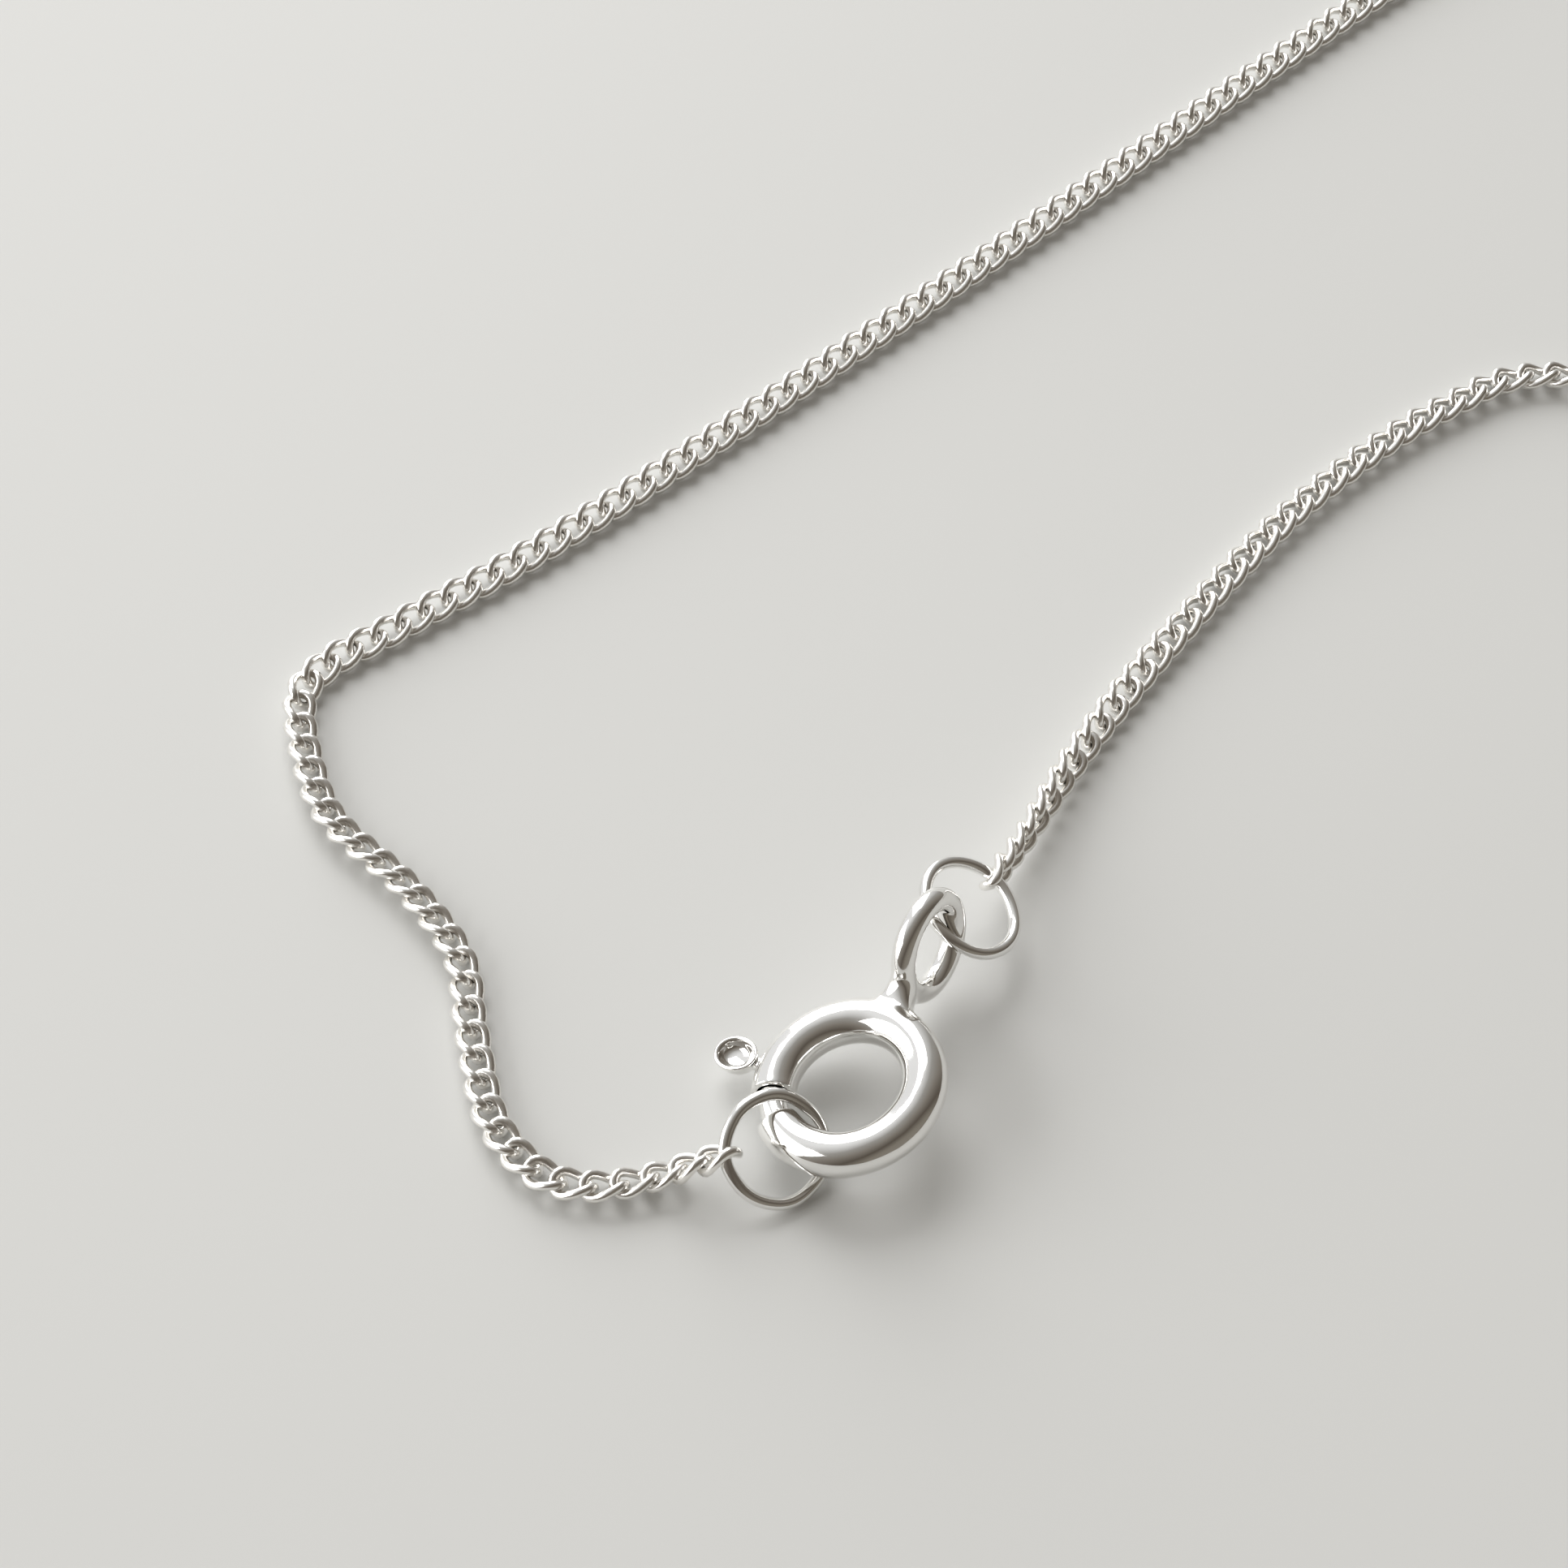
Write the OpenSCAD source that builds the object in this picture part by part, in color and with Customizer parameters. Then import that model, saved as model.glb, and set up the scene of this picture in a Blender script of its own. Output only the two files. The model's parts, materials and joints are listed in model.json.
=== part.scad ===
// Curb chain necklace with a spring ring clasp, lying on a flat surface at z = 0.
// Lengths are in millimetres. The chain is one closed loop; the clasp sits at its left end.

/* [Spring ring] */
// Radius of the ring's centre line
ring_r = 2.12; // [2:0.02:2.4]
// Radius of the ring's tube
tube_r = 0.625; // [0.56:0.005:0.64]
// Radius of the bore that the bolt slides in
bore_r = 0.45; // [0.4:0.01:0.5]
// Azimuth on the ring of the tube end that the bolt comes out of
mouth_from = 176; // [172:1:180]
// Azimuth on the ring of the tube end that the bolt closes on
mouth_to = 203; // [198:1:206]
// Depth in degrees of the pocket that takes the bolt's tip
pocket_angle = 12; // [9:1:16]
// Height of the ring's centre above the surface
clasp_height = 1.55; // [1.5:0.05:1.7]
// Slope of the lying ring, rising towards +X
clasp_tilt = 15.5; // [14:0.5:17]

/* [Bolt] */
// Radius of the curved bolt
bolt_r = 0.4; // [0.34:0.01:0.43]
// Length in degrees of the bolt's tip inside the pocket
tip_angle = 6; // [4:1:8]
// Azimuth of the bolt's inner end
tail_at = 118; // [116:1:122]
// Angle that the bolt slides back through to open the mouth
open_angle = 34; // [28:1:34]
// Azimuth of the thumb knob when the mouth is shut
knob_at = 155; // [153:1:157]
// Radius of the thumb knob
knob_r = 0.6; // [0.54:0.01:0.64]
// Height of the thumb knob
knob_h = 0.6; // [0.54:0.02:0.7]
// Clearance between the knob and the ring's tube
knob_gap = 0.085; // [0.05:0.005:0.15]
// Radius of the hollow in the knob's top
dish_r = 0.46; // [0.4:0.01:0.5]
// Depth of the hollow in the knob's top
dish_depth = 0.22; // [0.16:0.01:0.24]
// Radius of the stem that carries the knob
stem_r = 0.2; // [0.16:0.01:0.23]
// Clearance on each side of the stem in its slot
slot_gap = 0.06; // [0.04:0.01:0.08]

/* [Ear] */
// Azimuth of the ear on the ring
ear_at = 60; // [56:1:62]
// Distance from the ring's tube to the ear's nearest wire
ear_gap = 0.295; // [0.25:0.005:0.35]
// Radius of the ear's centre line
ear_loop_r = 1.33; // [1.28:0.01:1.4]
// Radius of the ear's wire
ear_wire_r = 0.34; // [0.31:0.005:0.36]
// Height of the ear's centre above the plane of the ring
ear_rise = 0.18; // [0:0.01:0.2]
// Radius of the soldered neck where it meets the tube
neck_r = 0.62; // [0.58:0.01:0.62]
// Radius of the soldered neck where it meets the ear
neck_waist = 0.36; // [0.34:0.01:0.4]

/* [Jump rings] */
// Radius of each jump ring's centre line
jump_r = 1.475; // [1.44:0.005:1.6]
// Radius of each jump ring's wire
jump_wire_r = 0.175; // [0.155:0.005:0.18]
// Clearance between the ear's wire and its jump ring
ear_ring_gap = 0.05; // [0.03:0.005:0.08]
// Clearance between the clasp's tube and the jump ring on it
hook_ring_gap = 0.06; // [0.05:0.005:0.09]
// Clearance between a jump ring and the link that holds it
hold_gap = 0.065; // [0.055:0.005:0.075]

/* [Chain] */
// Distance from one link to the next
link_pitch = 0.83; // [0.8:0.01:0.88]
// Width of a link's centre line
link_w = 0.82; // [0.8:0.01:0.9]
// Radius of a link's wire
link_wire_r = 0.14; // [0.125:0.005:0.15]
// Clearance between two linked wires
link_gap = 0.05; // [0.04:0.005:0.06]
// Angle that each link is twisted through from end to end, left-handed
link_twist = -95; // [-105:1:-90]
// Radius of the plain body that stands for the chain
chain_r = 0.55; // [0.5:0.01:0.6]
// Clearance between the chain's body and the linked end beside it
chain_gap = 0.15; // [0.1:0.01:0.25]

/* [Hidden] */

// The chain's way on the surface, from the hook's links to the ear's links: tight bends beside the
// clasp, then the plain way round. Its two ends are worked out from the linked ends.
way_round = [
    [-77.6, -45.0], [-79.2, -44.6], [-80.6, -42.9], [-81.3, -40.1], [-81.8, -37.5],
    [-83.4, -35.1], [-85.6, -32.8], [-86.5, -30.7], [-86.9, -28.3], [-86.1, -26.9], [-83.9, -25.3],
    [-78.3, -21.0], [-66.7, -10.7], [-52.4, 2.5], [-40, 13], [-26, 24], [-10, 33], [8, 40],
    [27, 44.5], [46, 44.5], [64, 39.5], [78, 29], [85.8, 13], [86, -5], [78, -22], [63, -34],
    [45, -40], [27, -40], [9, -36], [-9, -29], [-26, -22], [-39, -17], [-48.1, -15.3],
    [-52.1, -16.7], [-56.7, -20.5], [-60.7, -25.3], [-63.8, -29.8]];
// Route point at the front of the loop, where the chain's two sides meet
front_point = 23;
// Rings drawn from one route point to the next
route_steps = 2;
// Sides of the chain's plain body
chain_sides = 8;

// Where the ring's centre lies over the surface
clasp_at = [-70.95, -42.55, clasp_height];
// How each jump ring leans: its tilt, and the azimuth that its axis tilts towards
ear_ring_lean = [29, -4];
hook_ring_lean = [37, -52];
// Point of the ear's loop that its jump ring lies against, and the angle round its wire there
ear_touch = [-42.2, -151.1];
// Point of the jump ring that lies against the ear
ear_touch_turn = 249.8;
// Azimuth on the clasp, and the angle round its tube, of the other jump ring's contact
hook_touch = [240.9, -117.9];
// Point of the jump ring that lies against the clasp's tube
hook_touch_turn = 54;
// Point of each jump ring that the chain's first link holds
ear_hold_turn = 62;
hook_hold_turn = 245;
// Azimuth and rise of the chain where it leaves each jump ring
ear_leave = [62, -15];
hook_leave = [180, -30];
// Roll of the linked ends about the chain's own line
ear_link_roll = 90;
hook_link_roll = 27;

// Free bore behind the drawn bolt's inner end, in degrees
tail_room = 4;
// How far a bore is cut past a tube end, in degrees
bore_past = 2;
// How far the round side of the knob bulges, as a share of its radius
knob_bulge = 1.04;
// How full the sides of a link are: 1 is an ellipse, and less is squarer
link_round = 0.75;

ear_r = ring_r + tube_r + ear_gap + ear_wire_r + ear_loop_r;
knob_place = ring_r + tube_r + knob_gap + knob_r;
stem_angle = asin((stem_r + slot_gap) / (ring_r + bore_r));
slot_h = 2 * (stem_r + slot_gap);
link_l = link_pitch + 2 * link_wire_r + link_gap;
first_link = link_l / 2 - link_wire_r - jump_wire_r - hold_gap;
silver = [0.84, 0.84, 0.83];

function unit(v) = v / norm(v);
function turn_x(v, a) = [v.x, v.y * cos(a) - v.z * sin(a), v.y * sin(a) + v.z * cos(a)];
function turn_y(v, a) = [v.x * cos(a) + v.z * sin(a), v.y, v.z * cos(a) - v.x * sin(a)];
function turn_z(v, a) = [v.x * cos(a) - v.y * sin(a), v.x * sin(a) + v.y * cos(a), v.z];
function on_clasp(v) = turn_y(v, -clasp_tilt);
function on_ring(turn, lean) = turn_z(turn_y([cos(turn), sin(turn), 0], lean[0]), lean[1]);

// Centre of the jump ring in the ear, from the point where the two wires meet
ear_limb = [ear_r + ear_loop_r * cos(ear_touch[0]), 0, ear_rise + ear_loop_r * sin(ear_touch[0])];
ear_away = [cos(ear_touch[0]) * cos(ear_touch[1]), sin(ear_touch[1]), sin(ear_touch[0]) * cos(ear_touch[1])];
ear_meet = ear_limb + ear_away * (ear_wire_r + jump_wire_r + ear_ring_gap);
ear_ring_at = clasp_at + on_clasp(turn_z(ear_meet, ear_at)) - jump_r * on_ring(ear_touch_turn, ear_ring_lean);

// Centre of the jump ring on the hook, from the point where it meets the tube
hook_reach = tube_r + jump_wire_r + hook_ring_gap;
hook_meet = [ring_r + hook_reach * cos(hook_touch[1]), 0, hook_reach * sin(hook_touch[1])];
hook_ring_at = clasp_at + on_clasp(turn_z(hook_meet, hook_touch[0]))
    - jump_r * on_ring(hook_touch_turn, hook_ring_lean);

ear_hold = ear_ring_at + jump_r * on_ring(ear_hold_turn, ear_ring_lean);
hook_hold = hook_ring_at + jump_r * on_ring(hook_hold_turn, hook_ring_lean);

// Distance from the held point of a jump ring to the chain's body, past two links
chain_from = first_link + link_pitch + link_l / 2 + link_wire_r + chain_gap;
function line_out(leave) = turn_z(turn_y([1, 0, 0], -leave[1]), leave[0]);
function on_table(v) = [v.x, v.y];
route = concat([on_table(hook_hold + chain_from * line_out(hook_leave))], way_round,
    [on_table(ear_hold + chain_from * line_out(ear_leave))]);

// Stretch of the ring's tube, or of what slides in it, between two azimuths
module ring_arc(r, from, to) {
    rotate([0, 0, from])
        rotate_extrude(angle = to - from, $fn = 96)
            translate([ring_r, 0])
                circle(r = r, $fn = 48);
}

module place_clasp() {
    translate(clasp_at)
        rotate([0, -clasp_tilt, 0])
            children();
}

// Neck of solder, hollowed round on its way from the tube into the ear's wire
module neck() {
    fillet = neck_r - neck_waist;
    neck_h = tube_r + ear_gap + 0.75 * ear_wire_r;
    neck_slope = atan(ear_rise / (ear_r - ear_loop_r - ring_r));
    translate([ring_r, 0, 0])
        rotate([0, 90 - neck_slope, 0])
            rotate_extrude($fn = 48)
                difference() {
                    square([neck_r, neck_h]);
                    translate([neck_r, tube_r + fillet])
                        circle(r = fillet, $fn = 48);
                    translate([neck_waist, tube_r + fillet])
                        square([fillet, neck_h]);
                }
}

// Standing loop of wire, soldered to the tube by its neck
module ear() {
    rotate([0, 0, ear_at]) {
        neck();
        translate([ear_r, 0, ear_rise])
            rotate([90, 0, 0])
                rotate_extrude($fn = 96)
                    translate([ear_loop_r, 0])
                        circle(r = ear_wire_r, $fn = 48);
    }
}

module clasp_body() {
    color(silver) place_clasp() union() {
        difference() {
            ring_arc(tube_r, mouth_to, mouth_from + 360);
            ring_arc(bore_r, tail_at - open_angle - tail_room, mouth_from + bore_past);
            ring_arc(bore_r, mouth_to - bore_past, mouth_to + pocket_angle);
            rotate([0, 0, knob_at - open_angle - stem_angle])
                rotate_extrude(angle = open_angle + 2 * stem_angle, $fn = 96)
                    translate([ring_r, -slot_h / 2])
                        square([2 * tube_r, slot_h]);
        }
        ear();
    }
}

// Round thumb knob with a hollow top
module knob() {
    dish_sphere = (dish_r * dish_r + dish_depth * dish_depth) / (2 * dish_depth);
    difference() {
        intersection() {
            sphere(r = knob_r * knob_bulge, $fn = 48);
            cylinder(h = knob_h, r = knob_r, center = true, $fn = 48);
        }
        translate([0, 0, knob_h / 2 - dish_depth + dish_sphere])
            sphere(r = dish_sphere, $fn = 48);
    }
}

module clasp_bolt() {
    color(silver) place_clasp() union() {
        ring_arc(bolt_r, tail_at, mouth_to + tip_angle);
        rotate([0, 0, knob_at]) {
            translate([ring_r, 0, 0])
                rotate([0, 90, 0])
                    cylinder(h = knob_place - dish_r - ring_r, r = stem_r, $fn = 32);
            translate([knob_place, 0, 0])
                knob();
        }
    }
}

module jump_ring(at, lean) {
    color(silver)
        translate(at)
            rotate([0, lean[0], lean[1]])
                rotate_extrude($fn = 96)
                    translate([jump_r, 0])
                        circle(r = jump_wire_r, $fn = 32);
}

module ear_jump_ring() {
    jump_ring(ear_ring_at, ear_ring_lean);
}

module hook_jump_ring() {
    jump_ring(hook_ring_at, hook_ring_lean);
}

// Centre line of a twisted link, whose long axis is X, at turn t round the link
function link_lean(t) = link_twist / 2 * cos(t);
function link_side(t) = link_w / 2 * sign(sin(t)) * pow(abs(sin(t)), link_round);
function link_point(t) = turn_x([link_l / 2 * cos(t), link_side(t), 0], link_lean(t));
function link_along(t) = unit(link_point(t + 2) - link_point(t - 2));
function link_across(t) = unit(cross([0, -sin(link_lean(t)), cos(link_lean(t))], link_along(t)));
function link_wire(t, a) = link_point(t) + link_wire_r
    * (cos(a) * link_across(t) + sin(a) * cross(link_along(t), link_across(t)));

// Faces of a skin over rings of points, closed on itself or capped at both ends
function skin_faces(rings, sides, closed) = [
    for (i = [0:rings - (closed ? 1 : 2)], k = [0:sides - 1], half = [0, 1])
        let (j = (i + 1) % rings, n = (k + 1) % sides)
            [i * sides + k, j * sides + (half == 0 ? k : n), (half == 0 ? j : i) * sides + n],
    if (!closed) [for (k = [0:sides - 1]) k],
    if (!closed) [for (k = [0:sides - 1]) rings * sides - 1 - k]];

module link(hold, leave, roll, count) {
    stations = 16;
    sides = 6;
    points = [for (i = [0:stations - 1], k = [0:sides - 1]) link_wire(360 * i / stations, 360 * k / sides)];
    color(silver)
        translate(hold + (first_link + count * link_pitch) * line_out(leave))
            rotate([roll, -leave[1], leave[0]])
                polyhedron(points, skin_faces(stations, sides, true));
}

module ear_link_1() {
    link(ear_hold, ear_leave, ear_link_roll, 0);
}

module ear_link_2() {
    link(ear_hold, ear_leave, ear_link_roll, 1);
}

module hook_link_1() {
    link(hook_hold, hook_leave, hook_link_roll, 0);
}

module hook_link_2() {
    link(hook_hold, hook_leave, hook_link_roll, 1);
}

// Smooth curve through the route's points
last = len(route) - 1;
function stop(i) = i < 0 ? 2 * route[0] - route[1] : i > last ? 2 * route[last] - route[last - 1] : route[i];
function between(a, b, c, d, t) = (2 * b + (c - a) * t + (2 * a - 5 * b + 4 * c - d) * t * t
    + (3 * b - a - 3 * c + d) * t * t * t) / 2;
function curve(u) =
    let (i = min(floor(u), last - 1))
        between(stop(i - 1), stop(i), stop(i + 1), stop(i + 2), u - i);
function curve_along(u) = unit(curve(min(u + 0.05, last)) - curve(max(u - 0.05, 0)));

// One side of the chain, between two of the route's points
module chain(from, to) {
    rings = (to - from) * route_steps + 1;
    corner_r = chain_r / cos(180 / chain_sides);
    points = [for (i = [0:rings - 1], k = [0:chain_sides - 1])
        let (
            u = from + i / route_steps,
            along = curve_along(u),
            a = 360 * (k + 0.5) / chain_sides,
            at = curve(u) + corner_r * cos(a) * [-along.y, along.x])
            [at.x, at.y, chain_r + corner_r * sin(a)]];
    color(silver)
        polyhedron(points, skin_faces(rings, chain_sides, false));
}

module chain_hook_side() {
    chain(0, front_point);
}

module chain_ear_side() {
    chain(front_point, last);
}

clasp_body();
clasp_bolt();
ear_jump_ring();
hook_jump_ring();
ear_link_1();
ear_link_2();
hook_link_1();
hook_link_2();
chain_hook_side();
chain_ear_side();
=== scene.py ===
# %% [markdown]
# # A fine curb chain necklace with a spring ring clasp
#
# The necklace lies on a pale table in one closed loop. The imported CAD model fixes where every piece
# is. This notebook dresses it: polished silver for the clasp, the two jump rings and the links at the
# ends, and about five hundred real curb links in place of the two plain bodies that stand for the
# chain.

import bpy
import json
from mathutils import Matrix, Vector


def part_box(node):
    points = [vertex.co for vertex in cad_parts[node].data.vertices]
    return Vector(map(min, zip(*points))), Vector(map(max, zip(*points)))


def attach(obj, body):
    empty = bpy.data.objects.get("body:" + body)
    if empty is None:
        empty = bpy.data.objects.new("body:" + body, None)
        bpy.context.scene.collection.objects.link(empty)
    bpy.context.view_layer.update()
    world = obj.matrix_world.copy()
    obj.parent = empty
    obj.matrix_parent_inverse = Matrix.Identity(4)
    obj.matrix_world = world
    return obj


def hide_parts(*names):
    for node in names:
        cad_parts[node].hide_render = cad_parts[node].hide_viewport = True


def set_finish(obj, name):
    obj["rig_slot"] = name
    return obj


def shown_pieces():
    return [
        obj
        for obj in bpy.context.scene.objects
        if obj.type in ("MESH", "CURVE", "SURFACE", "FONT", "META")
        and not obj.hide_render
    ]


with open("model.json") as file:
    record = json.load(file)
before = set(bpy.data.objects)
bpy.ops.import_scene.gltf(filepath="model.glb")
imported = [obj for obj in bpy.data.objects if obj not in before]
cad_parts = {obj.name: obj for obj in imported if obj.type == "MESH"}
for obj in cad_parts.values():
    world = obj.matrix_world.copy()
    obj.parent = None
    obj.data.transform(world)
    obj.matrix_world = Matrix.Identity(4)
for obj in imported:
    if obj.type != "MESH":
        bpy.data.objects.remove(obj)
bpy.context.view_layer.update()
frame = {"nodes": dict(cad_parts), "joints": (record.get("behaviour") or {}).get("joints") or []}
print("nodes:", ", ".join(sorted(frame["nodes"])))

# %% [markdown]
# ## Sizes
#
# The maker's sizes are few: three gauges of wire, the spring ring and the length of a link. They are
# given in millimetres and turned to metres once, here. Places come from the frame wherever it can
# give them: the hinge of the bolt is the axis of the spring ring, and the middle of a jump ring's box
# is the middle of the ring.

# %% Sizes of the spring ring and its bolt
import json
import math

import bmesh
import bpy
from mathutils import Matrix, Vector

MM = 0.001
ring_r = 2.12 * MM
tube_r = 0.625 * MM
bore_r = 0.45 * MM
mouth_from = 176
mouth_to = 203
pocket_angle = 12
bolt_r = 0.4 * MM
tail_at = 118
tip_angle = 6
open_angle = 34
tail_room = 4
print("spring ring across:", round(2 * (ring_r + tube_r) / MM, 2), "mm")

# %% Sizes of the knob and the ear
knob_at = 155
knob_r = 0.6 * MM
knob_h = 0.6 * MM
dish_r = 0.46 * MM
knob_gap = 0.085 * MM
knob_place = ring_r + tube_r + knob_gap + knob_r
stem_r = 0.2 * MM
slot_gap = 0.06 * MM
slot_h = 2 * (stem_r + slot_gap)
stem_angle = math.degrees(math.asin(slot_h / 2 / (ring_r + bore_r)))
ear_at = 60
ear_loop_r = 1.33 * MM
ear_wire_r = 0.34 * MM
ear_rise = 0.18 * MM
ear_gap = 0.295 * MM
ear_r = ring_r + tube_r + ear_gap + ear_wire_r + ear_loop_r
print("ear reaches", round((ear_r + ear_loop_r + ear_wire_r) / MM, 2), "mm from the ring's centre")

# %% Sizes of the jump rings and the links
jump_r = 1.475 * MM
jump_wire_r = 0.175 * MM
link_pitch = 0.83 * MM
link_w = 0.82 * MM
link_wire_r = 0.15 * MM
link_overlap = 0.37 * MM
link_l = link_pitch + link_overlap
link_twist = math.radians(-95)
hold_room = 0.205 * MM
first_link = link_l / 2 - jump_wire_r - hold_room
print("link:", round((link_l + 2 * link_wire_r) / MM, 2), "mm long")

# %% [markdown]
# ## Helpers
#
# Most of this object is wire: a circle carried along a line. Each helper takes a loop of edges, moves
# it on and hands back the loop at the far end, so that a bent wire is written as a chain of steps.
# Subdivision pulls a cage inwards, so a cage's circle starts a little larger than the wire.

# %% Turns, cages and loops
def turn(degrees, axis):
    return Matrix.Rotation(math.radians(degrees), 4, axis)


def cage_radius(radius, sides):
    return radius * 3 / (2 + math.cos(2 * math.pi / sides))


def loop_at(bm, radius, sides, place):
    verts = bmesh.ops.create_circle(bm, segments=sides, radius=radius, matrix=place)["verts"]
    return list({edge for vert in verts for edge in vert.link_edges})


def carry_round(bm, loop, centre, axis, degrees, steps):
    verts = list({vert for edge in loop for vert in edge.verts})
    end = bmesh.ops.spin(bm, geom=verts + loop, cent=centre, axis=axis,
                         angle=math.radians(degrees), steps=steps)
    return [item for item in end["geom_last"] if isinstance(item, bmesh.types.BMEdge)]


def carry_along(bm, loop, move, steps):
    for _ in range(steps):
        made = bmesh.ops.extrude_edge_only(bm, edges=loop)["geom"]
        verts = [item for item in made if isinstance(item, bmesh.types.BMVert)]
        bmesh.ops.translate(bm, vec=Vector(move) / steps, verts=verts)
        loop = [item for item in made if isinstance(item, bmesh.types.BMEdge)
                and all(vert in verts for vert in item.verts)]
    return loop


print("a cage for a wire of radius 1 with 8 sides has radius", round(cage_radius(1, 8), 3))

# %% From a bmesh to a finished piece
sharp_angle = 40


def finished_mesh(name, bm):
    bmesh.ops.recalc_face_normals(bm, faces=bm.faces)
    for face in bm.faces:
        face.smooth = True
    mesh = bpy.data.meshes.new(name)
    bm.to_mesh(mesh)
    bm.free()
    return mesh


def mesh_object(name, bm, levels=0):
    piece = bpy.data.objects.new(name, finished_mesh(name, bm))
    bpy.context.scene.collection.objects.link(piece)
    if levels:
        rounding = piece.modifiers.new("rounding", "SUBSURF")
        rounding.levels = levels
        rounding.render_levels = levels
    return piece


def settle(piece):
    """Applies the piece's modifiers to its own mesh."""
    depsgraph = bpy.context.evaluated_depsgraph_get()
    mesh = bpy.data.meshes.new_from_object(piece.evaluated_get(depsgraph))
    piece.modifiers.clear()
    piece.data = mesh
    mesh.name = piece.name


def combine(piece, other, operation):
    """Cuts the other solid from the piece or welds it on, and removes the other one."""
    step = piece.modifiers.new("combine", "BOOLEAN")
    step.operation = operation
    step.solver = "EXACT"
    step.object = other
    settle(piece)
    bpy.data.objects.remove(other)


def crisp(piece):
    """Shades the piece smoothly, apart from its sharp edges."""
    for polygon in piece.data.polygons:
        polygon.use_smooth = True
    piece.data.set_sharp_from_angle(angle=math.radians(sharp_angle))


def hand_over(piece, body, slot, *nodes):
    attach(piece, body)
    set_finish(piece, slot)
    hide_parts(*nodes)
    print(piece.name, "has", len(piece.data.polygons), "faces")


# %% [markdown]
# ## The spring ring's tube and its ear
#
# The real ring is a bent tube, open for a short stretch, with a wire ear soldered to its outside. A
# boolean would leave a hard line where the two meet, and solder leaves none. So both are cages for a
# subdivision surface. A small patch of faces is taken out of each cage where they face each other, and
# the two holes are bridged. The bridge is smoothed until it draws in between them, as solder does, and
# subdivision rounds it into the flared neck.

# %% Where the clasp lies
bolt_hinge = frame["joints"][0]
clasp_centre = Vector(bolt_hinge["pos_m"])
clasp_axis = Vector(bolt_hinge["axis"])
clasp_slope = Matrix.Rotation(math.atan2(clasp_axis.x, clasp_axis.z), 4, "Y")
clasp_place = Matrix.Translation(clasp_centre) @ clasp_slope
print("clasp slopes by", round(math.degrees(math.atan2(-clasp_axis.x, clasp_axis.z)), 1), "degrees")

# %% The ear's cage
wire_sides = 12
ear_steps = 40


def ear_cage(bm):
    start = Matrix.Translation((ear_r + ear_loop_r, 0, ear_rise))
    wire = loop_at(bm, cage_radius(ear_wire_r, wire_sides), wire_sides, start)
    verts = list({vert for edge in wire for vert in edge.verts})
    bmesh.ops.spin(bm, geom=verts + wire, cent=(ear_r, 0, ear_rise), axis=(0, -1, 0), angle=2 * math.pi,
                   steps=ear_steps, use_merge=True)
    bmesh.ops.transform(bm, matrix=turn(ear_at, "Z"), verts=bm.verts)


clasp_bm = bmesh.new()
ear_cage(clasp_bm)
print("ear cage:", len(clasp_bm.faces), "faces")

# %% The tube's cage, with its bore and its pocket
tube_sides = 16
tube_edge = 0.03 * MM
steps_before_ear = 36
steps_after_ear = 20
ear_turn = ear_at + 360
pocket_steps = 2
bore_angle = tail_at - open_angle - tail_room - mouth_from
bore_steps = 9


def tube_loop(bm, radius, azimuth):
    upright = turn(azimuth, "Z") @ Matrix.Translation((ring_r, 0, 0)) @ turn(90, "X")
    return loop_at(bm, cage_radius(radius, tube_sides), tube_sides, upright)


def hollow(bm, rim, azimuth, depth, steps):
    """Closes a tube end with a bore that goes in by depth degrees."""
    mouth = tube_loop(bm, bore_r, azimuth)
    bottom = carry_round(bm, mouth, (0, 0, 0), (0, 0, 1), depth, steps)
    bmesh.ops.contextual_create(bm, geom=bottom)
    bmesh.ops.bridge_loops(bm, edges=rim + mouth)
    bmesh.ops.bevel(bm, geom=rim + mouth, offset=tube_edge, segments=2, profile=0.5,
                    affect="EDGES", material=-1)


def tube_cage(bm):
    near_rim = tube_loop(bm, tube_r, mouth_to)
    at_ear = carry_round(bm, near_rim, (0, 0, 0), (0, 0, 1), ear_turn - mouth_to, steps_before_ear)
    far_rim = carry_round(bm, at_ear, (0, 0, 0), (0, 0, 1), mouth_from + 360 - ear_turn, steps_after_ear)
    hollow(bm, near_rim, mouth_to, pocket_angle, pocket_steps)
    hollow(bm, far_rim, mouth_from, bore_angle, bore_steps)


tube_cage(clasp_bm)
print("tube and ear cages:", len(clasp_bm.faces), "faces")

# %% The soldered neck
def open_patch(bm, place):
    """Takes out a patch of four by four faces round a place, and returns the hole's edges."""
    middle = min(bm.verts, key=lambda vert: (vert.co - place).length)
    near = {vert for face in middle.link_faces for vert in face.verts}
    faces = {face for vert in near for face in vert.link_faces}
    rim = {edge for face in faces for edge in face.edges if not near.intersection(edge.verts)}
    bmesh.ops.delete(bm, geom=list(near), context="VERTS")
    return list(rim)


neck_waist = 0.44 * MM
neck_smoothing = 4


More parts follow.
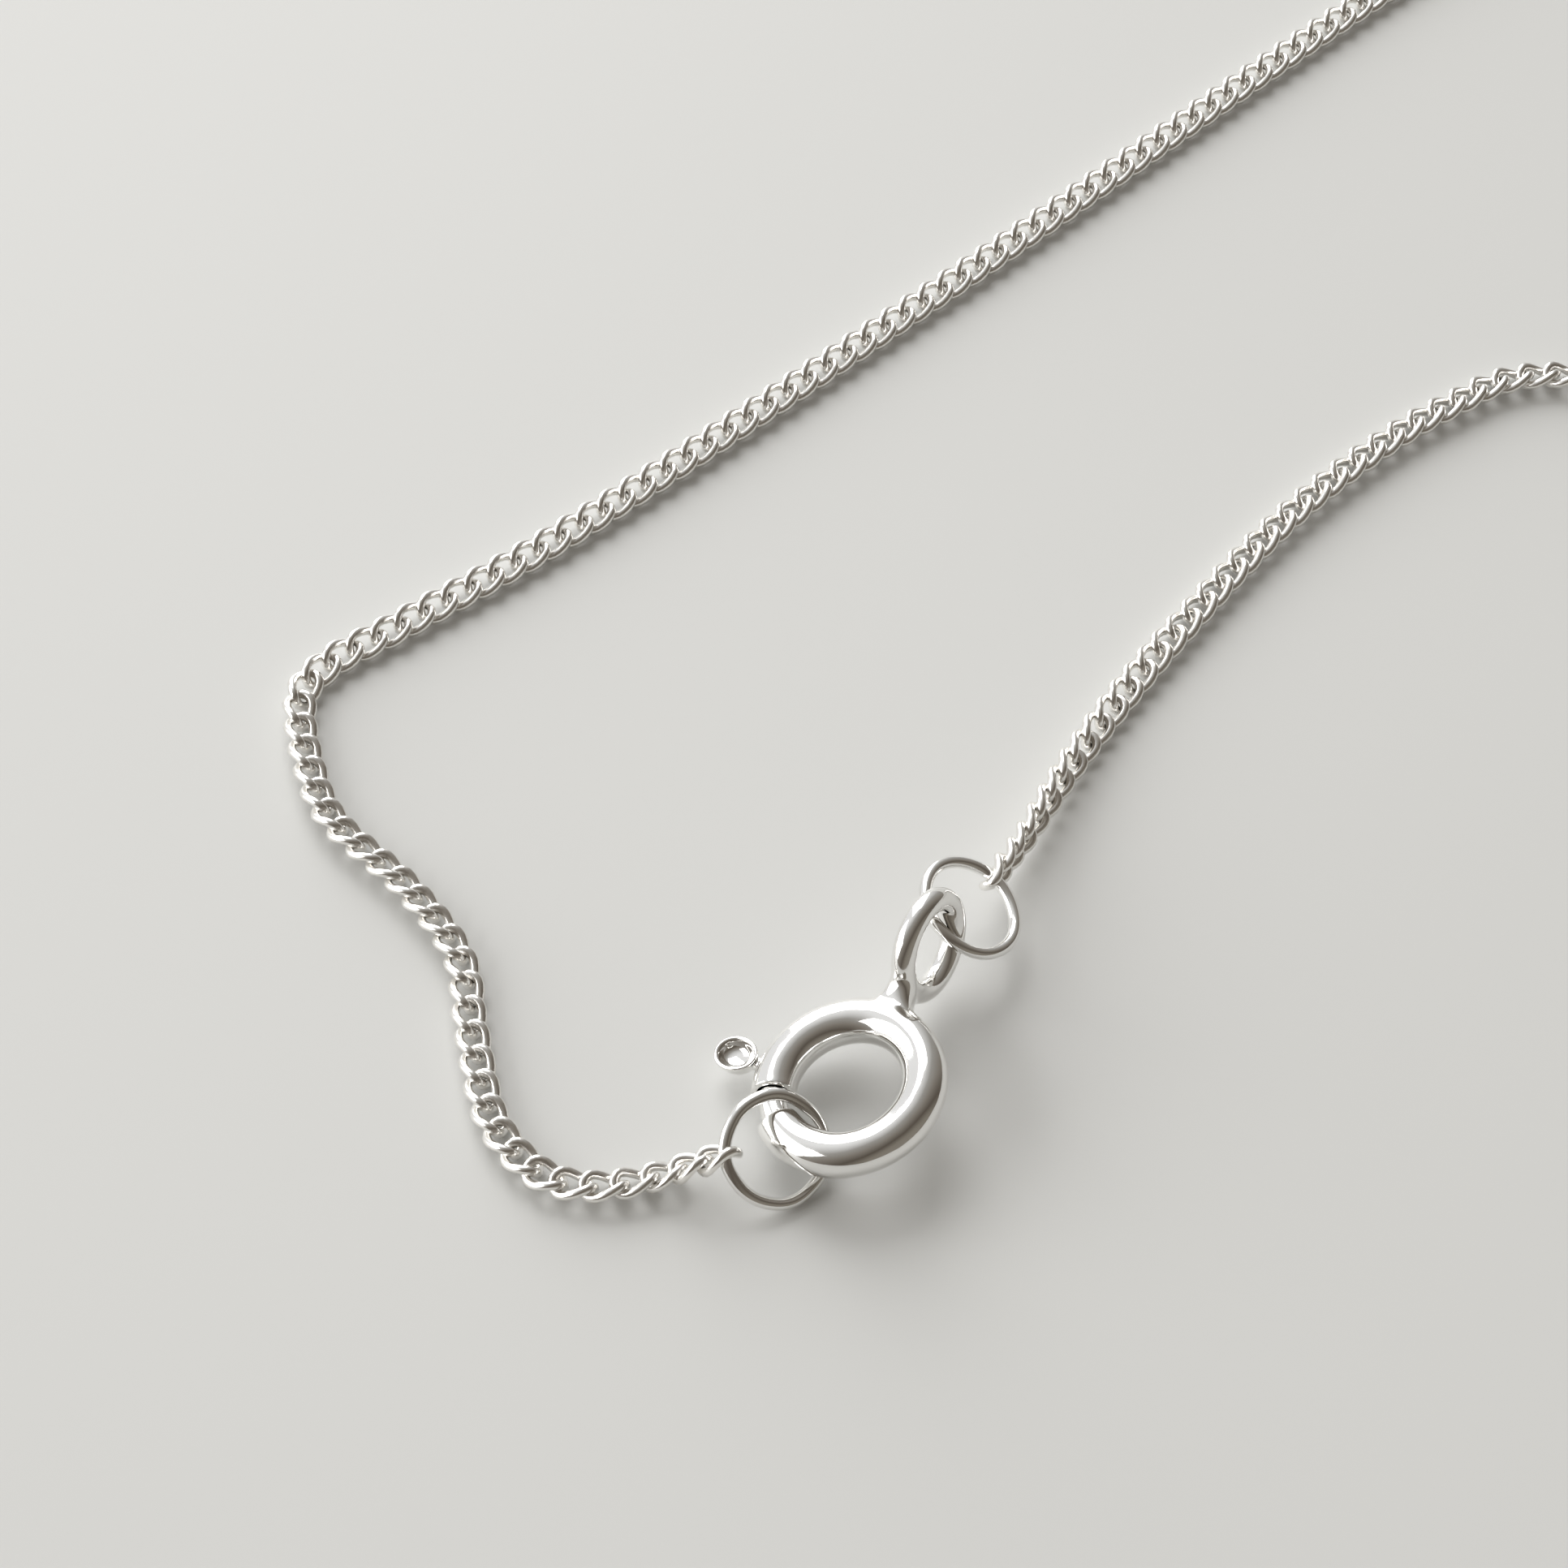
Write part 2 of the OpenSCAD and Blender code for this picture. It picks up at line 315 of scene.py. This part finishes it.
def solder_neck(bm):
    neck_slope = math.degrees(math.atan2(ear_rise, ear_r - ear_loop_r - ring_r))
    outward = turn(ear_at, "Z") @ turn(-neck_slope, "Y") @ Vector((1, 0, 0))
    root = turn(ear_at, "Z") @ Vector((ring_r, 0, 0))
    on_tube = open_patch(bm, root + outward * tube_r)
    on_ear = open_patch(bm, root + outward * (ear_r - ear_loop_r - ear_wire_r - ring_r))
    sides = bmesh.ops.bridge_loops(bm, edges=on_tube + on_ear)["edges"]
    inner = bmesh.ops.subdivide_edges(bm, edges=sides, cuts=3, use_grid_fill=True)["geom_inner"]
    rims = {vert for edge in on_tube + on_ear for vert in edge.verts}
    verts = list(rims.union(item for item in inner if isinstance(item, bmesh.types.BMVert)))
    for _ in range(neck_smoothing):
        for vert in verts:
            middle = root + (vert.co - root).dot(outward) * outward
            reach = (vert.co - middle).length
            vert.co = middle + (vert.co - middle) * max(reach, neck_waist) / reach
        bmesh.ops.smooth_vert(bm, verts=verts, factor=0.5, use_axis_x=True, use_axis_y=True,
                              use_axis_z=True)


solder_neck(clasp_bm)
bmesh.ops.transform(clasp_bm, matrix=clasp_place, verts=clasp_bm.verts)
spring_ring = mesh_object("spring_ring", clasp_bm, levels=2)
settle(spring_ring)
print("spring ring:", len(spring_ring.data.polygons), "faces")

# %% The thumb slot
slot_steps = 24


def slot_cutter():
    bm = bmesh.new()
    flat = Matrix.Translation((ring_r + tube_r, 0, 0)) @ turn(90, "X")
    face = bmesh.ops.create_grid(bm, x_segments=1, y_segments=1, size=tube_r, matrix=flat)["verts"]
    bmesh.ops.scale(bm, vec=(1, 1, slot_h / 2 / tube_r), verts=face)
    bmesh.ops.transform(bm, matrix=turn(knob_at - open_angle - stem_angle, "Z"), verts=bm.verts)
    bmesh.ops.spin(bm, geom=bm.verts[:] + bm.edges[:] + bm.faces[:], axis=(0, 0, 1), cent=(0, 0, 0),
                   angle=math.radians(open_angle + 2 * stem_angle), steps=slot_steps)
    bmesh.ops.transform(bm, matrix=clasp_place, verts=bm.verts)
    return mesh_object("slot_cutter", bm)


combine(spring_ring, slot_cutter(), "DIFFERENCE")
crisp(spring_ring)
hand_over(spring_ring, "necklace", "clasp_silver", "clasp_body")

# %% [markdown]
# ## The bolt and its knob
#
# The bolt is a bent rod that slides in the tube, so it rides on its own body. Its thumb knob is a
# small turned cup. A turned part is a profile spun about its axis, and the stem is a plain cylinder
# that joins the two.

# %% The curved rod
bolt_edge = 0.12 * MM
rod_sides = 32
rod_steps = 48


def bolt_rod():
    bm = bmesh.new()
    upright = turn(tail_at, "Z") @ Matrix.Translation((ring_r, 0, 0)) @ turn(90, "X")
    tail = loop_at(bm, bolt_r, rod_sides, upright)
    tip = carry_round(bm, tail, (0, 0, 0), (0, 0, 1), mouth_to + tip_angle - tail_at, rod_steps)
    for end in (tail, tip):
        bmesh.ops.contextual_create(bm, geom=end)
    bmesh.ops.bevel(bm, geom=tail + tip, offset=bolt_edge, segments=4, profile=0.5,
                    affect="EDGES", material=-1)
    return bm


bolt_bm = bolt_rod()
bmesh.ops.transform(bolt_bm, matrix=clasp_place, verts=bolt_bm.verts)
bolt = mesh_object("bolt", bolt_bm)
print("bolt rod:", len(bolt.data.polygons), "faces")

# %% The stem and the turned knob
# The knob's outline: how far out in knob radii, and how high in knob heights.
knob_profile = [(0, -0.5), (0.4, -0.5), (0.68, -0.42), (0.88, -0.2), (1.0, 0.08), (1.08, 0.34),
                (1.08, 0.5), (0.98, 0.56), (0.84, 0.48), (0.74, 0.28), (0.6, 0.1), (0.36, 0.03), (0, 0)]
knob_steps = 16
knob_breadth = 0.84
stem_sides = 24


def knob_bm():
    bm = bmesh.new()
    cage_r = cage_radius(knob_r, knob_steps)
    verts = [bm.verts.new((across * cage_r, 0, up * knob_h)) for across, up in knob_profile]
    edges = [bm.edges.new(pair) for pair in zip(verts, verts[1:])]
    bmesh.ops.spin(bm, geom=verts + edges, axis=(0, 0, 1), cent=(0, 0, 0), angle=2 * math.pi,
                   steps=knob_steps, use_merge=True)
    bmesh.ops.remove_doubles(bm, verts=bm.verts, dist=0.001 * MM)
    bmesh.ops.scale(bm, vec=(1, knob_breadth, 1), verts=bm.verts)
    return bm


at_knob = clasp_place @ turn(knob_at, "Z")
stem_bm = bmesh.new()
stem_end = knob_place - dish_r
stem_middle = Matrix.Translation(((ring_r + stem_end) / 2, 0, 0)) @ turn(90, "Y")
bmesh.ops.create_cone(stem_bm, cap_ends=True, segments=stem_sides, radius1=stem_r, radius2=stem_r,
                      depth=stem_end - ring_r, matrix=at_knob @ stem_middle)
stem = mesh_object("stem", stem_bm)
cup_bm = knob_bm()
bmesh.ops.transform(cup_bm, matrix=at_knob @ Matrix.Translation((knob_place, 0, 0)), verts=cup_bm.verts)
cup = mesh_object("cup", cup_bm, levels=2)
settle(cup)
combine(bolt, stem, "UNION")
combine(bolt, cup, "UNION")
crisp(bolt)
hand_over(bolt, "bolt", "clasp_silver", "clasp_bolt")

# %% [markdown]
# ## The jump rings
#
# A jump ring is one turn of thin wire, closed by hand with pliers, so it is never a perfect circle.
# A section spun right round gives the ring. Then every vertex is moved in by a few slow waves of its
# turn, which gives the soft flats and corners that pliers leave. The waves start at the point that the
# chain's first link holds, so the ring stays where it is there.

# %% Two bent rings
ring_sides = 16
ring_steps = 96


def ring_turn(lean):
    """A ring leans about Y by the first angle, and is then turned about Z by the second."""
    return turn(lean[1], "Z") @ turn(lean[0], "Y")


def middle_of(node):
    low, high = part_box(node)
    return (low + high) / 2


def bend_by_hand(bm, held_at, waves):
    """Moves the wire by waves, each given by its count in a turn and its size in millimetres."""
    for vert in bm.verts:
        at = math.atan2(vert.co.y, vert.co.x)
        out = Vector((math.cos(at), math.sin(at), 0))
        vert.co += out * sum(size * MM * (math.cos(count * (at - math.radians(held_at))) - 1)
                             for count, size in waves)


def jump_ring(name, node, lean, held_at, waves):
    bm = bmesh.new()
    upright = Matrix.Translation((jump_r, 0, 0)) @ turn(90, "X")
    section = loop_at(bm, jump_wire_r, ring_sides, upright)
    verts = list({vert for edge in section for vert in edge.verts})
    bmesh.ops.spin(bm, geom=verts + section, axis=(0, 0, 1), cent=(0, 0, 0), angle=2 * math.pi,
                   steps=ring_steps, use_merge=True)
    bend_by_hand(bm, held_at, waves)
    bmesh.ops.transform(bm, matrix=Matrix.Translation(middle_of(node)) @ ring_turn(lean), verts=bm.verts)
    ring = mesh_object(name, bm)
    hand_over(ring, "necklace", "ring_silver", node)


ear_ring_lean = (29, -4)
hook_ring_lean = (37, -52)
ear_hold_turn = 62
hook_hold_turn = 245
ear_ring_waves = [(3, 0.012), (5, 0.01)]
hook_ring_waves = [(4, 0.012), (7, 0.008)]
jump_ring("jump_ring_at_ear", "ear_jump_ring", ear_ring_lean, ear_hold_turn, ear_ring_waves)
jump_ring("jump_ring_at_hook", "hook_jump_ring", hook_ring_lean, hook_hold_turn, hook_ring_waves)

# %% [markdown]
# ## One curb link
#
# A curb link is an oval of round wire that has been twisted so that it lies flat against its
# neighbours. Its cage is made the same way: half a turn, a straight side, half a turn and a straight
# side. Then every vertex is turned about the link's long axis by an angle that grows along it, which
# is just what the twisting tool does. A link reaches past its pitch by a little more than its wire is
# thick, so that nearly all neighbours keep clear of each other. With a few dozen faces it can be
# repeated hundreds of times.

# %% The twisted link's cage
link_sides = 6
link_bends = 5
link_round_r = link_w / 2
link_straight = link_l - link_w


def link_mesh():
    bm = bmesh.new()
    wire = cage_radius(link_wire_r, link_sides)
    start = Matrix.Translation((-link_straight / 2, -link_round_r, 0)) @ turn(90, "Y")
    loop = loop_at(bm, wire, link_sides, start)
    for side in (1, -1):
        loop = carry_along(bm, loop, (side * link_straight, 0, 0), 1)
        loop = carry_round(bm, loop, (side * link_straight / 2, 0, 0), (0, 0, 1), 180, link_bends)
    bmesh.ops.remove_doubles(bm, verts=bm.verts, dist=0.01 * MM)
    for vert in bm.verts:
        vert.co.rotate(Matrix.Rotation(link_twist * vert.co.x / link_l, 3, "X"))
    return finished_mesh("curb_link", bm)


curb_link = link_mesh()
print("one link:", len(curb_link.polygons), "faces")

# %% A row of links
def row_of_links(name, places, *nodes):
    bm = bmesh.new()
    for place in places:
        before = len(bm.verts)
        bm.from_mesh(curb_link)
        bm.verts.ensure_lookup_table()
        bmesh.ops.transform(bm, matrix=place, verts=bm.verts[before:])
    row = mesh_object(name, bm, levels=1)
    hand_over(row, "necklace", "chain_silver", *nodes)


# %% [markdown]
# ## The linked ends
#
# The first two links on each side hang in a jump ring and run straight out from it. They are rigid
# nodes of the CAD model, so each is replaced by one fine link in the same place.

# %% Where the links leave the jump rings
ear_leave = (62, -15)
hook_leave = (180, -30)
ear_roll = 90
hook_roll = 27


def line_out(leave):
    return turn(leave[0], "Z") @ turn(-leave[1], "Y")


def held_point(node, lean, at):
    on_ring = Vector((math.cos(math.radians(at)), math.sin(math.radians(at)), 0))
    return middle_of(node) + jump_r * (ring_turn(lean) @ on_ring)


def end_link_place(hold, leave, roll, count):
    along = line_out(leave) @ Vector((first_link + count * link_pitch, 0, 0))
    return Matrix.Translation(hold + along) @ line_out(leave) @ turn(roll, "X")


ear_hold = held_point("ear_jump_ring", ear_ring_lean, ear_hold_turn)
hook_hold = held_point("hook_jump_ring", hook_ring_lean, hook_hold_turn)
for count in (0, 1):
    row_of_links(f"ear_side_link_{count + 1}", [end_link_place(ear_hold, ear_leave, ear_roll, count)],
                 f"ear_link_{count + 1}")
    row_of_links(f"hook_side_link_{count + 1}", [end_link_place(hook_hold, hook_leave, hook_roll, count)],
                 f"hook_link_{count + 1}")

# %% [markdown]
# ## The chain's way round
#
# The route repeats the points of the CAD model: tight bends beside the clasp, then the plain way
# round. A smooth curve through them is walked in steps of one link. Each link lies along the curve
# and is rolled about it, as a limp chain rolls when it is laid down, and drops until it touches the
# table. Beside the jump rings, where the end links hang clear, it comes down over a few links.

# %% The route's points
way_round = [
    (-77.6, -45.0), (-79.2, -44.6), (-80.6, -42.9), (-81.3, -40.1), (-81.8, -37.5),
    (-83.4, -35.1), (-85.6, -32.8), (-86.5, -30.7), (-86.9, -28.3), (-86.1, -26.9), (-83.9, -25.3),
    (-78.3, -21.0), (-66.7, -10.7), (-52.4, 2.5), (-40, 13), (-26, 24), (-10, 33), (8, 40),
    (27, 44.5), (46, 44.5), (64, 39.5), (78, 29), (85.8, 13), (86, -5), (78, -22), (63, -34),
    (45, -40), (27, -40), (9, -36), (-9, -29), (-26, -22), (-39, -17), (-48.1, -15.3),
    (-52.1, -16.7), (-56.7, -20.5), (-60.7, -25.3), (-63.8, -29.8)]
chain_height = 0.55 * MM
route = [end_link_place(hook_hold, hook_leave, 0, count).translation for count in (1, 2)]
route += [Vector((x * MM, y * MM, chain_height)) for x, y in way_round]
route += [end_link_place(ear_hold, ear_leave, 0, count).translation for count in (2, 1)]
print("route:", len(route), "points")


# %% A smooth curve through them
def between(a, b, c, d, t):
    return (2 * b + (c - a) * t + (2 * a - 5 * b + 4 * c - d) * t ** 2
            + (3 * b - a - 3 * c + d) * t ** 3) / 2


def walk(points, steps):
    """Points along the curve, each with its distance from the start and its place in the list."""
    first, last = 2 * points[0] - points[1], 2 * points[-1] - points[-2]
    padded = [first] + points + [last]
    path = [(0.0, points[0], 0.0)]
    for index in range(len(points) - 1):
        for step in range(1, steps + 1):
            here = between(*padded[index:index + 4], step / steps)
            path.append((path[-1][0] + (here - path[-1][1]).length, here, index + step / steps))
    return path


curve_steps = 24
path = walk(route, curve_steps)
chain_length = path[-1][0]
link_count = round(chain_length / link_pitch)
print("chain:", round(chain_length / MM, 1), "mm,", link_count - 1, "links")


# %% How the chain rolls along its length
# Each pair is a place in the route's list and the roll there in degrees.
roll_keys = [(0, 27), (1, 27), (3, 8), (6, 26), (10, 28), (12, 20), (30, 18), (34, 16), (36, 10), (37, 0),
             (38, -45), (39, -84), (40, -90)]


def read_table(table, at):
    for (low, first), (high, last) in zip(table, table[1:]):
        if at <= high:
            share = (at - low) / (high - low)
            return first + (last - first) * share
    return table[-1][1]


def on_path(distance):
    """The point at a distance along the path, and its place in the route's list."""
    low, high = 0, len(path) - 1
    while high - low > 1:
        middle = (low + high) // 2
        if path[middle][0] <= distance:
            low = middle
        else:
            high = middle
    share = (distance - path[low][0]) / (path[high][0] - path[low][0])
    return path[low][1].lerp(path[high][1], share), path[low][2] + share * (path[high][2] - path[low][2])


cage_shrink = (link_l / 2 + link_wire_r) / (link_l / 2 + cage_radius(link_wire_r, link_sides))
settling_links = 6


def resting_height(tilt):
    """How high the middle of a link is when the link rests on the table at this tilt."""
    return -min((tilt @ vert.co).z for vert in curb_link.vertices) * cage_shrink


def link_place(number):
    distance = number * chain_length / link_count
    here, index = on_path(distance)
    ahead = on_path(min(distance + link_pitch / 2, chain_length))[0]
    behind = on_path(max(distance - link_pitch / 2, 0))[0]
    along = (ahead - behind).normalized()
    across = Vector((0, 0, 1)).cross(along).normalized()
    up = along.cross(across)
    turned = Matrix((along, across, up)).transposed().to_4x4() @ turn(read_table(roll_keys, index), "X")
    resting = resting_height(turned)
    settled = min(1, number / settling_links, (link_count - number) / settling_links)
    height = max(here.z + settled * (resting - chain_height), resting)
    return Matrix.Translation((here.x, here.y, height)) @ turned, index


print("a link that isn't rolled rests", round(resting_height(Matrix.Identity(4)) / MM, 2), "mm up")

# %% The two sides of the chain
front_point = 24
placed = [link_place(number) for number in range(1, link_count)]
hook_side = [place for place, index in placed if index <= front_point]
ear_side = [place for place, index in placed if index > front_point]
row_of_links("links_on_hook_side", hook_side, "chain_hook_side")
row_of_links("links_on_ear_side", ear_side, "chain_ear_side")
print("links:", len(hook_side), "and", len(ear_side))

# %% [markdown]
# ## Polished silver
#
# Silver has hardly any colour of its own: what shows is the room. So the finish is in the surface. A
# faint slow waviness bends the reflections as hand polishing does, fine scuffs spread the highlight a
# little, and the roughness wanders. The scale follows the piece: a link is too small to show waves.

# %% A finish for each slot
scuff_scale = 9000
scuff_depth = 0.0002 * MM


def silver(name, colour, roughness, wave_scale, wave_depth):
    material = bpy.data.materials.new(name)
    material.use_nodes = True
    nodes, links = material.node_tree.nodes, material.node_tree.links
    skin = nodes["Principled BSDF"]
    skin.inputs["Metallic"].default_value = 1.0
    place = nodes.new("ShaderNodeTexCoord")
    waves = nodes.new("ShaderNodeTexNoise")
    waves.inputs["Scale"].default_value = wave_scale
    waves.inputs["Detail"].default_value = 1.0
    scuffs = nodes.new("ShaderNodeTexNoise")
    scuffs.inputs["Scale"].default_value = scuff_scale
    scuffs.inputs["Detail"].default_value = 4.0
    wavy = nodes.new("ShaderNodeBump")
    wavy.inputs["Distance"].default_value = wave_depth
    scuffed = nodes.new("ShaderNodeBump")
    scuffed.inputs["Distance"].default_value = scuff_depth
    spread = nodes.new("ShaderNodeMapRange")
    spread.inputs["To Min"].default_value = roughness[0]
    spread.inputs["To Max"].default_value = roughness[1]
    tint = nodes.new("ShaderNodeMix")
    tint.data_type = "RGBA"
    tint.inputs["A"].default_value = (*colour[0], 1)
    tint.inputs["B"].default_value = (*colour[1], 1)
    for noise in (waves, scuffs):
        links.new(place.outputs["Object"], noise.inputs["Vector"])
    links.new(waves.outputs["Fac"], wavy.inputs["Height"])
    links.new(scuffs.outputs["Fac"], scuffed.inputs["Height"])
    links.new(wavy.outputs["Normal"], scuffed.inputs["Normal"])
    links.new(scuffed.outputs["Normal"], skin.inputs["Normal"])
    links.new(scuffs.outputs["Fac"], spread.inputs["Value"])
    links.new(spread.outputs["Result"], skin.inputs["Roughness"])
    links.new(waves.outputs["Fac"], tint.inputs["Factor"])
    links.new(tint.outputs["Result"], skin.inputs["Base Color"])
    print(name, "made")
    return material


bright = (0.94, 0.935, 0.92)
soft = (0.9, 0.89, 0.87)
pale = (0.97, 0.96, 0.94)
warm = (0.92, 0.895, 0.855)
finishes = {
    "clasp_silver": silver("clasp_silver", colour=(bright, soft), roughness=(0.04, 0.13),
                           wave_scale=1300, wave_depth=0.014 * MM),
    "ring_silver": silver("ring_silver", colour=(bright, soft), roughness=(0.06, 0.16),
                          wave_scale=1500, wave_depth=0.006 * MM),
    "chain_silver": silver("chain_silver", colour=(pale, warm), roughness=(0.14, 0.3),
                           wave_scale=2600, wave_depth=0.006 * MM)}

# %% Give every piece its finish
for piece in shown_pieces():
    piece.data.materials.clear()
    piece.data.materials.append(finishes[piece["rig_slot"]])

# %% [markdown]
# ## Table, light and camera
#
# The table is a pale smooth board. Polished metal shows what stands round it, so the light comes from
# a tall window to the north and a wide one to the west, and each gives a soft shadow. The room behind
# the camera is dim, which gives the metal its dark lines.

# %% The table
table_half = 1.5
table_bm = bmesh.new()
bmesh.ops.create_grid(table_bm, x_segments=1, y_segments=1, size=table_half)
table = mesh_object("table", table_bm)
board = bpy.data.materials.new("pale_board")
board.use_nodes = True
board_skin = board.node_tree.nodes["Principled BSDF"]
board_skin.inputs["Base Color"].default_value = (0.7, 0.7, 0.68, 1)
board_skin.inputs["Roughness"].default_value = 0.5
table.data.materials.append(board)
print("table:", 2 * table_half, "m across")

# %% Two windows
window_distance = 1.2


def window(name, azimuth, height, wide, tall, radiance):
    """A bright window that faces the clasp. Its angles, as the clasp sees them, are in degrees."""
    towards = turn(azimuth, "Z") @ turn(-height, "Y") @ Vector((window_distance, 0, 0))
    size = [2 * window_distance * math.tan(math.radians(angle / 2)) for angle in (wide, tall)]
    data = bpy.data.lights.new(name, "AREA")
    data.shape = "RECTANGLE"
    data.size, data.size_y = size
    data.energy = radiance * math.pi * size[0] * size[1]
    light = bpy.data.objects.new(name, data)
    light.location = clasp_centre + towards
    light.rotation_euler = (clasp_centre - light.location).to_track_quat("-Z", "Y").to_euler()
    bpy.context.scene.collection.objects.link(light)
    print(name, "is", round(size[0], 2), "m wide and", round(size[1], 2), "m tall")


window("north_window", azimuth=105, height=31, wide=36, tall=56, radiance=3.2)
window("west_window", azimuth=181, height=23, wide=58, tall=42, radiance=2.8)

# %% The room round them
room_tones = [(0.0, (0.23, 0.21, 0.18)), (0.15, (0.2, 0.18, 0.15)), (0.3, (0.095, 0.08, 0.065)),
              (0.5, (0.21, 0.19, 0.165)), (0.68, (0.31, 0.3, 0.28)), (0.9, (0.8, 0.8, 0.8))]
bright_side = (-0.6, 0.7, 0.35)
world = bpy.data.worlds.new("room")
world.use_nodes = True
bpy.context.scene.world = world
room_nodes, room_links = world.node_tree.nodes, world.node_tree.links
direction = room_nodes.new("ShaderNodeTexCoord")
facing = room_nodes.new("ShaderNodeVectorMath")
facing.operation = "DOT_PRODUCT"
facing.inputs[1].default_value = bright_side
spread = room_nodes.new("ShaderNodeMapRange")
spread.inputs["From Min"].default_value = -1.0
tones = room_nodes.new("ShaderNodeValToRGB")
ramp = tones.color_ramp.elements
ramp[0].position, ramp[0].color = room_tones[0][0], (*room_tones[0][1], 1)
ramp[1].position, ramp[1].color = room_tones[-1][0], (*room_tones[-1][1], 1)
for position, tone in room_tones[1:-1]:
    ramp.new(position).color = (*tone, 1)
room_links.new(direction.outputs["Generated"], facing.inputs[0])
room_links.new(facing.outputs["Value"], spread.inputs["Value"])
room_links.new(spread.outputs["Result"], tones.inputs["Fac"])
room_links.new(tones.outputs["Color"], room_nodes["Background"].inputs["Color"])
print("room made of", len(room_tones), "tones")

# %% The camera
camera_slope = 52.8
camera_data = bpy.data.cameras.new("photo_camera")
camera_data.lens = 89.44
camera_data.sensor_width = 36
camera_data.clip_start = 0.005
camera = bpy.data.objects.new("photo_camera", camera_data)
camera.location = Vector((-72.7, -99.5, 90.09)) * MM
camera.rotation_euler = (math.radians(90 - camera_slope), 0, 0)
bpy.context.scene.collection.objects.link(camera)
bpy.context.scene.camera = camera
bpy.context.scene.view_settings.view_transform = "Standard"
print("camera looks down by", camera_slope, "degrees")
